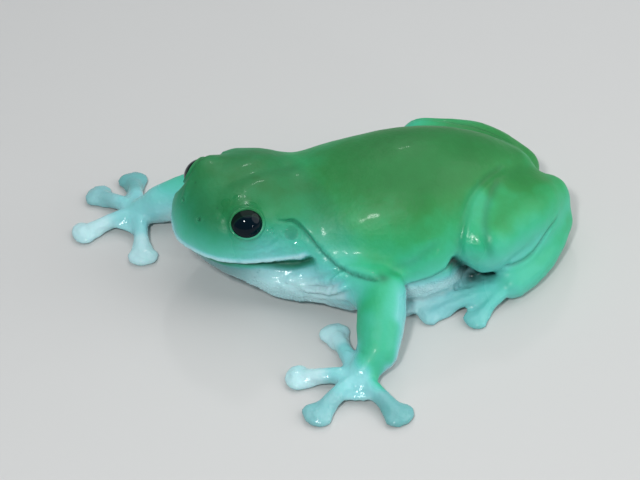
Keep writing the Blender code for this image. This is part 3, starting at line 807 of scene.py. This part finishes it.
# how far the skin is mixed towards the dark colour: painted shade in the knee's hollow and on the chin, a
# darker tone at the eardrum, the front of the left foot and the top of the back
paintedShadesAndDarkTones = {"ear": 0.42, "knee": 0.97, "foot": 0.16, "back": 0.14, "chin": 0.55}
footSetsIn = (64, 52)  # how far behind the eyes
backSetsIn = (0.6, 0.95)  # how far the skin faces up
chinShadowSetsIn = {"ahead": (-8, 5), "below": (-10, -12), "above": (-18.5, -15)}  # where the painted shadow under the lip falls on the chin, in the head's axes
kneeHollowShade = (  # painted shade in the deep part of the left knee, from the middle of the eyes: place, reach
    (54.6, -26.2, -13.4, 1.1), (55.5, -26.2, -14.6, 1.4), (56.5, -25.8, -15.8, 1.9),
    (57.4, -25.6, -17, 2.4), (58.3, -25, -18.6, 2.7), (60.5, -24.5, -19.6, 2.6),
    (62.5, -24.5, -19.6, 2.6), (59.5, -23.6, -21, 3.0), (61.5, -23, -21.6, 3.4),
    (63.5, -24, -21.2, 3.2),
)
paleLines = {  # line from the middle of the eyes, reach, paleness
    "wristBack": (
        [(24.5, -36.5, -11.5), (25, -41.1, -13.4), (25, -44.8, -14.7), (24.2, -48, -16.8), (25.3, -50, -19)],
        5.5, 0.4,
    ),
    "wristOuter": ([(31, -40, -12.5), (30, -44, -14.5), (28.5, -48, -17.5), (27.5, -51, -20.5)], 3.8, 0.4),
    "chest": ([(24, -30, -12), (20.5, -26.5, -15), (16, -22.5, -17), (10, -19, -16)], 3.6, 0.98),
    "handStrip": (
        [(24.2, -47, -16.4), (25.4, -50, -18.8), (25.9, -52.5, -21), (26.4, -57, -22.2)],
        3.2, 0.42,
    ),
    "shankFront": ([(73, -14, -1.5), (68.5, -18, -2.2), (65.5, -23, -3.6), (64, -27.5, -6.5)], 5.0, 0.2),
    "thighBand": ([(66, -14.5, -0.5), (61.5, -19.5, -1.6), (58.5, -25, -4.5), (58.5, -28.5, -9)], 5.0, 0.34),
    "forearmEdge": ([(36.5, -35.5, -9.5), (35.8, -40, -11), (33.2, -44, -13)], 2.0, 0.7),
}

head = toHead(points)
normals = normalsOf(skin.data)
facingUp = normals[:, 2]
paleOf = {}
for group in shares:
    kind = re.sub("left|right", "", group)
    if kind == "head":
        paleOf[group] = np.interp(head[:, 2], *np.array(headLevels).T)
        continue
    away = (points - middleOf(limbGroups[group][0])) / 10
    if kind == "trunk":
        outward = abs((points - headOrigin) @ headLeft) / 10 - 1
    else:
        outward = away @ headLeft * (1 if group.startswith("left") else -1)
    measures = np.stack((np.ones(len(points)), away @ headFlat, outward, away[:, 2], facingUp), axis=1)
    paleOf[group] = measures @ np.array(paleness.get(group) or paleness[kind])
paleOf["trunk"] += tones["bellyMore"] * step(*tones["bellySetsIn"], points[:, 2])
total = sum(shares.values())
pale = np.zeros(len(points))
for group in shares:
    pale += shares[group] * np.clip(paleOf[group], tones["leastOnArms" if "Arm" in group else "least"], 1)
pale = averaged(pale / total, edges, 16)
# the cheeks' painted highlight
for sideways in (1, -1):
    place = np.array(cheekHighlight["place"]) * (1, sideways, 1)
    pale += cheekHighlight["more"] * bell(np.linalg.norm(head - place, axis=1), cheekHighlight["reach"])
for line, reach, value in paleLines.values():
    near, distance, share, weight = besideLine(laid(curved(fromEyes(line))), reach)
    pale[near] += (value - pale[near]) * step(reach, reach * 0.3, abs(distance)) * weight * endsOf(share, 0.2)
pale += (tones["lip"] - pale) * lipShare * 0.9
pale += (tones["mouth"] - pale) * gape
nearest = nodeOfPoints(points)
for side in ("left", "right"):
    for number, value, dark in fingerTones:
        onFinger = nearest == allNodes.index(f"{side}_finger_{number}")
        onFinger = averaged(onFinger.astype(float), edges, 12)
        handBack = averaged((abs(pale - tones["handBack"]) < 0.1).astype(float), edges, 1) > 0
        pale += (value - pale) * onFinger * ~(handBack & (number == 4))
        shade = np.maximum(shade, dark * onFinger)
pale = np.clip(averaged(pale, edges, 4), 0, 1)
shade = np.maximum(shade, paintedShadesAndDarkTones["ear"] * earShare)
# painted shade in the knee's hollow
for *place, reach in kneeHollowShade:
    shade = np.maximum(shade, paintedShadesAndDarkTones["knee"] * bell(gapTo(fromEyes(place)), reach))
behindEyes = points[:, 0] - headOrigin[0]
shade = np.maximum(shade, paintedShadesAndDarkTones["foot"] * shares["leftFoot"] * step(*footSetsIn, behindEyes))
shade = np.maximum(shade, paintedShadesAndDarkTones["back"] * shares["trunk"] * step(*backSetsIn, facingUp))
# a painted shadow on the chin, under the lip
chin = shares["head"] * step(*chinShadowSetsIn["ahead"], head[:, 0])
chin *= step(*chinShadowSetsIn["below"], head[:, 2]) * step(*chinShadowSetsIn["above"], head[:, 2])
shade = np.maximum(shade, paintedShadesAndDarkTones["chin"] * averaged(chin, edges, 20) * (1 - lipShare))
# the head above the mouth is darker, more so ahead of the eyes, and the lip is left out
headDarkness = headDarkening["more"] * (1 + headDarkening["ahead"] * step(2, 8, head[:, 0]))
headDarkness = averaged(headDarkness * shares["head"] * step(*headDarkening["setsIn"], head[:, 2]), edges, 40)
shade = np.maximum(shade, headDarkness * (1 - lipShare))

wetness = {"everywhere": 0.12, "lip": 0.5, "pale": 0.75, "places": 0.7}
paleSetsIn = (0.45, 0.8)
glintReach = 1.2
wetPlaces = {  # from the middle of the eyes, with their reach
    "cheek": ((6, -15, -6), 6.0),
    "jawCorner": ((14.7, -16.1, -6.8), 3.0),
    "chest": ((18, -23, -14), 6.0),
    "knee": ((58, -27.5, -8), 5.0),
    "brow": ((-1, -9.5, 3), 3.0),
    "lid": ((4.5, -10.5, 4.6), 2.2),
    "underEye": ((0.5, -15, -3.2), 2.6),
    "foot": ((48, -28, -22), 9.0),
}
wet = wetness["everywhere"] + wetness["lip"] * lipShare + wetness["pale"] * step(*paleSetsIn, pale)
for place, reach in wetPlaces.values():
    wet += wetness["places"] * bell(gapTo(fromEyes(place)), reach)
for place in headForms["glints"]:
    wet += bell(gapTo(fromEyes(place)), glintReach)
wet = np.clip(wet, 0, 1) * (1 - np.clip(gape * 1.2, 0, 1))


def shadeSmooth(mesh):
    mesh.polygons.foreach_set("use_smooth", [True] * len(mesh.polygons))


def keepAttribute(mesh, name, values):
    attribute = mesh.attributes.new(name, "FLOAT", "POINT")
    attribute.data.foreach_set("value", values.astype(np.float32))


keepAttribute(skin.data, "paleness", pale)
keepAttribute(skin.data, "wetness", wet)
keepAttribute(skin.data, "shade", np.clip(shade, 0, 1))
shadeSmooth(skin.data)
report("colour shares kept")

# the eyeballs

eyeballForm = {"segments": 72, "rings": 36, "cornea": 0.12}


def eyeball(side):
    sideways = 1 if side == "left" else -1
    axis = Vector(direction(eyeForm["axisTurn"], eyeForm["axisRise"], sideways) @ headAxes)
    along = axis.cross(Vector(headUp)).normalized()
    rise = along.cross(axis)
    work = bmesh.new()
    segments, rings = eyeballForm["segments"], eyeballForm["rings"]
    bmesh.ops.create_uvsphere(work, u_segments=segments, v_segments=rings, radius=1)
    turn = Matrix((along, rise, axis)).transposed().to_4x4()
    for vertex in work.verts:
        bulge = 1 + eyeballForm["cornea"] / eyeForm["radius"] * step(0.55, 1.0, vertex.co.z)
        vertex.co *= float(eyeForm["radius"] * bulge) * mm
    middle = fromHead(eyeForm["middle"][sideways])
    bmesh.ops.transform(work, matrix=Matrix.Translation(Vector(middle) * mm) @ turn, verts=work.verts)
    mesh = bpy.data.meshes.new(side + "Eyeball")
    work.to_mesh(mesh)
    work.free()
    for name, way in (("eyeAcross", along), ("eyeRise", rise)):
        keepAttribute(mesh, name, (pointsOf(mesh) - middle) @ np.array(way) / eyeForm["radius"])
    shadeSmooth(mesh)
    return keep(side + "Eyeball", mesh)


eyeballs = {side: eyeball(side) for side in ("left", "right")}
report("eyeballs made")

# materials


def linear(*colour):  # from the 0 to 255 of a display
    return [((value / 255 + 0.055) / 1.055) ** 2.4 if value > 10 else value / 255 / 12.92 for value in colour]


def newMaterial(name):
    material = bpy.data.materials.new(name)
    material.use_nodes = True
    return material, material.node_tree, material.node_tree.nodes["Principled BSDF"]


def fill(tree, made, inputs):  # each input takes a value or another node's output
    for name, value in inputs.items():
        if isinstance(value, bpy.types.NodeSocket):
            tree.links.new(value, made.inputs[name])
        else:
            made.inputs[name].default_value = value


def node(tree, kind, inputs=None, **settings):
    made = tree.nodes.new(kind)
    for name, value in settings.items():
        setattr(made, name, value)
    fill(tree, made, inputs or {})
    return made


def maths(tree, operation, *values):
    return node(tree, "ShaderNodeMath", dict(enumerate(values)), operation=operation).outputs["Value"]


def shareNode(tree, name):  # a share kept on the piece's points
    return node(tree, "ShaderNodeAttribute", attribute_name=name).outputs["Fac"]


def ramp(tree, value, stops):
    made = node(tree, "ShaderNodeValToRGB", {"Fac": value})
    marks = made.color_ramp.elements
    while len(marks) < len(stops):
        marks.new(0.5)
    for mark, (place, colour) in zip(marks, stops):
        mark.position = place
        mark.color = (*linear(*colour), 1)
    return made.outputs["Color"]


skinLook = {
    "stops": (  # colour by paleness
        (0.00, (34, 120, 54)),
        (0.12, (39, 136, 66)),
        (0.25, (42, 164, 100)),
        (0.36, (52, 182, 134)),
        (0.50, (76, 194, 166)),
        (0.66, (104, 202, 194)),
        (0.82, (142, 212, 216)),
        (1.00, (190, 230, 234)),
    ),
    # the dark colour of the painted shade and of the skin's darker tones
    "shadeColour": (4, 44, 36),
    "mottleScale": 260,
    "mottleLeast": -0.14,  # what the mottling adds to the paleness
    "mottleMost": -0.02,
    "cloudScale": 75,
    "clouding": 0.16,
    "grainScale": 1500,
    "pebbleScale": 900,
    "relief": 0.3,
    "reliefDepth": 0.00014,
    "wetRelief": 1.6,  # how much more relief the wettest skin has
    "wetPower": 4,
    "dryRoughness": 0.56,
    "wetRoughness": 0.11,
    "specular": 0.38,
    "coat": 0.05,
    "coatRoughness": 0.1,
    "scatter": 0.12,
    "scatterColour": (0.5, 1.0, 0.7),
    "scatterDepth": 0.0012,
}


def skinMaterial():
    material, tree, shader = newMaterial("treeFrogSkin")
    place = node(tree, "ShaderNodeTexCoord").outputs["Object"]

    def noiseOf(scale, detail):
        inputs = {"Vector": place, "Scale": scale, "Detail": detail}
        return node(tree, "ShaderNodeTexNoise", inputs).outputs["Fac"]

    mottle = {
        "Value": noiseOf(skinLook["mottleScale"], 4),
        "To Min": skinLook["mottleLeast"],
        "To Max": skinLook["mottleMost"],
    }
    drift = node(tree, "ShaderNodeMapRange", mottle).outputs["Result"]
    cloud = noiseOf(skinLook["cloudScale"], 2)
    clouded = maths(tree, "MULTIPLY_ADD", cloud, skinLook["clouding"], shareNode(tree, "paleness"))
    bare = ramp(tree, maths(tree, "ADD", clouded, drift), skinLook["stops"])
    # painted shade and darker tones mix the colour towards the dark one
    shadeColour = (*linear(*skinLook["shadeColour"]), 1)
    inputs = {0: shareNode(tree, "shade"), "A": bare, "B": shadeColour}
    coloured = node(tree, "ShaderNodeMix", inputs, data_type="RGBA").outputs["Result"]

    wet = shareNode(tree, "wetness")
    inputs = {"Vector": place, "Scale": skinLook["pebbleScale"]}
    pebble = node(tree, "ShaderNodeTexVoronoi", inputs).outputs["Distance"]
    relief = maths(tree, "ADD", noiseOf(skinLook["grainScale"], 3), pebble)
    soaked = maths(tree, "POWER", wet, skinLook["wetPower"])
    rougher = maths(tree, "MULTIPLY_ADD", soaked, skinLook["wetRelief"], 1)
    inputs = {
        "Strength": skinLook["relief"],
        "Distance": skinLook["reliefDepth"],
        "Height": maths(tree, "MULTIPLY", relief, rougher),
    }
    bump = node(tree, "ShaderNodeBump", inputs).outputs["Normal"]
    gloss = {"Value": wet, "To Min": skinLook["dryRoughness"], "To Max": skinLook["wetRoughness"]}
    fill(tree, shader, {
        "Base Color": coloured,
        "Normal": bump,
        "Roughness": node(tree, "ShaderNodeMapRange", gloss).outputs["Result"],
        "Specular IOR Level": skinLook["specular"],
        "Coat Weight": skinLook["coat"],
        "Coat Roughness": skinLook["coatRoughness"],
        "Subsurface Weight": skinLook["scatter"],
        "Subsurface Radius": skinLook["scatterColour"],
        "Subsurface Scale": skinLook["scatterDepth"],
    })
    return material


eyeLook = {
    "wide": 0.80,  # size of the dark middle, in eyeball radii
    "high": 0.70,
    "stops": ((0.0, (0, 16, 27)), (0.9, (0, 18, 28)), (0.97, (14, 44, 36)), (1.0, (8, 26, 22))),
    "roughness": 0.3,
    "coatRoughness": 0.02,
    "coatIor": 1.25,
}


def eyeMaterial():
    material, tree, shader = newMaterial("treeFrogEye")
    across = maths(tree, "DIVIDE", shareNode(tree, "eyeAcross"), eyeLook["wide"])
    rise = maths(tree, "DIVIDE", shareNode(tree, "eyeRise"), eyeLook["high"])
    place = node(tree, "ShaderNodeCombineXYZ", {"X": across, "Y": rise}).outputs["Vector"]
    length = node(tree, "ShaderNodeVectorMath", {0: place}, operation="LENGTH").outputs["Value"]
    fill(tree, shader, {
        "Base Color": ramp(tree, length, eyeLook["stops"]),
        "Roughness": eyeLook["roughness"],
        "Specular IOR Level": 0.0,
        "Coat Weight": 1.0,
        "Coat Roughness": eyeLook["coatRoughness"],
        "Coat IOR": eyeLook["coatIor"],
    })
    return material


skin.data.materials.clear()
skin.data.materials.append(skinMaterial())

# granules of the belly, throat and undersides of the thighs

granuleForm = {  # the scatter's inputs
    "Spacing": 0.66 * mm,
    "Radius": 0.28 * mm,
    "Flatness": 0.4,
    "Seed": 7,
}
granuleShape = {"segments": 7, "rings": 4, "smallest": 0.75, "largest": 1.15, "density": 4e6}
granulePlaces = {  # limits of the skin that has them
    "palest": 0.72,
    "facingUp": 0.35,
    "height": 0.9,
    "onBody": 0.7,
    "onMouth": 0.05,
    "shade": 0.3,
}


def granuleBed():  # the pale skin of the underside, clear of the floor
    mesh = skin.data.copy()
    soft = shares["trunk"] + shares["head"] + shares["leftThigh"] + shares["rightThigh"]
    chosen = (pale > granulePlaces["palest"]) & (normals[:, 2] < granulePlaces["facingUp"])
    chosen &= (points[:, 2] > granulePlaces["height"]) & (soft > granulePlaces["onBody"] * total)
    chosen &= np.maximum(lipShare, gape) < granulePlaces["onMouth"]
    chosen &= shade < granulePlaces["shade"]
    work = bmesh.new()
    work.from_mesh(mesh)
    work.verts.ensure_lookup_table()
    others = [work.verts[index] for index in np.flatnonzero(~chosen)]
    bmesh.ops.delete(work, geom=others, context="VERTS")
    work.to_mesh(mesh)
    work.free()
    return mesh


def granuleTree(material):
    tree = bpy.data.node_groups.new("scatteredGranules", "GeometryNodeTree")
    tree.interface.new_socket("Bed", in_out="INPUT", socket_type="NodeSocketGeometry")
    for name in granuleForm:
        kind = "NodeSocketInt" if name == "Seed" else "NodeSocketFloat"
        tree.interface.new_socket(name, in_out="INPUT", socket_type=kind)
    tree.interface.new_socket("Granules", in_out="OUTPUT", socket_type="NodeSocketGeometry")
    given = node(tree, "NodeGroupInput").outputs
    inputs = {"Mesh": given["Bed"], "Distance Min": given["Spacing"], "Seed": given["Seed"]}
    inputs["Density Max"] = granuleShape["density"]
    scatter = node(tree, "GeometryNodeDistributePointsOnFaces", inputs, distribute_method="POISSON").outputs
    inputs = {"Segments": granuleShape["segments"], "Rings": granuleShape["rings"], "Radius": given["Radius"]}
    dome = node(tree, "GeometryNodeMeshUVSphere", inputs).outputs["Mesh"]
    inputs = {2: granuleShape["smallest"], 3: granuleShape["largest"], "Seed": given["Seed"]}
    size = node(tree, "FunctionNodeRandomValue", inputs, data_type="FLOAT").outputs[1]
    lower = maths(tree, "MULTIPLY", size, given["Flatness"])
    scale = node(tree, "ShaderNodeCombineXYZ", {"X": size, "Y": size, "Z": lower}).outputs["Vector"]
    inputs = {"Points": scatter["Points"], "Instance": dome, "Rotation": scatter["Rotation"], "Scale": scale}
    placed = node(tree, "GeometryNodeInstanceOnPoints", inputs).outputs["Instances"]
    realized = node(tree, "GeometryNodeRealizeInstances", {"Geometry": placed}).outputs["Geometry"]
    inputs = {"Geometry": realized, "Material": material}
    clad = node(tree, "GeometryNodeSetMaterial", inputs).outputs["Geometry"]
    node(tree, "NodeGroupOutput", {"Granules": clad})
    return tree


granules = keep("bellyGranules", granuleBed())
scattering = granules.modifiers.new("granules", "NODES")
scattering.node_group = granuleTree(skin.data.materials[0])
for socket in scattering.node_group.interface.items_tree:
    if socket.name in granuleForm:
        scattering[socket.identifier] = granuleForm[socket.name]
baked(granules)
shadeSmooth(granules.data)
report(f"granules scattered, {len(granules.data.polygons)} faces")
eyeballMaterial = eyeMaterial()
for ball in eyeballs.values():
    ball.data.materials.append(eyeballMaterial)

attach(skin, "root")
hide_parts(*fleshNodes)
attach(granules, "root")
for side, ball in eyeballs.items():
    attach(ball, "root")
    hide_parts(side + "_eye")

# floor, lights and camera

studio = {
    "floorSize": 3.0,
    "floorColour": (0.6, 0.6, 0.59),
    "floorRoughness": 0.7,
    "worldColour": (0.86, 0.93, 1.0),
    "worldStrength": 0.26,
    "target": (26.754, 4.992, -25.6),  # from the middle of the eyes
    "distance": 536.3,
    "azimuth": -16.0,
    "elevation": 42.0,
    "lens": 113.137,
}
lights = {  # place in metres, size, power
    "overhead": ((0.1, 0.12, 0.6), 0.8, 1.4),
    "front": ((-0.22, -0.36, 0.5), 0.07, 1.85),
    "rim": ((0.5, -0.16, 0.34), 0.6, 1.6),
    "glint": ((0.13, 0.46, 0.44), 0.05, 0.3),
    "low": ((0.28, -0.6, 0.14), 0.035, 0.25),
}


def madeFloor():
    mesh = bpy.data.meshes.new("floor")
    half = studio["floorSize"] / 2
    corners = [(-half, -half, 0), (half, -half, 0), (half, half, 0), (-half, half, 0)]
    mesh.from_pydata(corners, [], [(0, 1, 2, 3)])
    floor = keep("floor", mesh)
    material, tree, shader = newMaterial("paleFloor")
    fill(tree, shader, {"Base Color": (*studio["floorColour"], 1), "Roughness": studio["floorRoughness"]})
    mesh.materials.append(material)


def light(name, place, size, power):
    made = bpy.data.objects.new(name, bpy.data.lights.new(name, "AREA"))
    made.data.shape = "DISK"
    made.data.size = size
    made.data.energy = power
    made.location = place
    made.rotation_euler = (-Vector(place)).to_track_quat("-Z", "Y").to_euler()
    bpy.context.scene.collection.objects.link(made)


madeFloor()
for name, (place, size, power) in lights.items():
    light(name, place, size, power)
world = bpy.data.worlds.new("room")
bpy.context.scene.world = world
world.use_nodes = True
air = {"Color": (*studio["worldColour"], 1), "Strength": studio["worldStrength"]}
fill(world.node_tree, world.node_tree.nodes["Background"], air)

camera = bpy.data.objects.new("camera", bpy.data.cameras.new("camera"))
bpy.context.scene.collection.objects.link(camera)
turn, rise = math.radians(studio["azimuth"]), math.radians(studio["elevation"])
back = Vector((math.sin(turn) * math.cos(rise), -math.cos(turn) * math.cos(rise), math.sin(rise)))
target = Vector(fromEyes(studio["target"])) * mm
camera.location = target + back * studio["distance"] * mm
camera.rotation_euler = (-back).to_track_quat("-Z", "Y").to_euler()
camera.data.lens = studio["lens"]
camera.data.clip_start = 0.01
bpy.context.scene.camera = camera
bpy.context.scene.view_settings.view_transform = "Standard"
report("studio set")
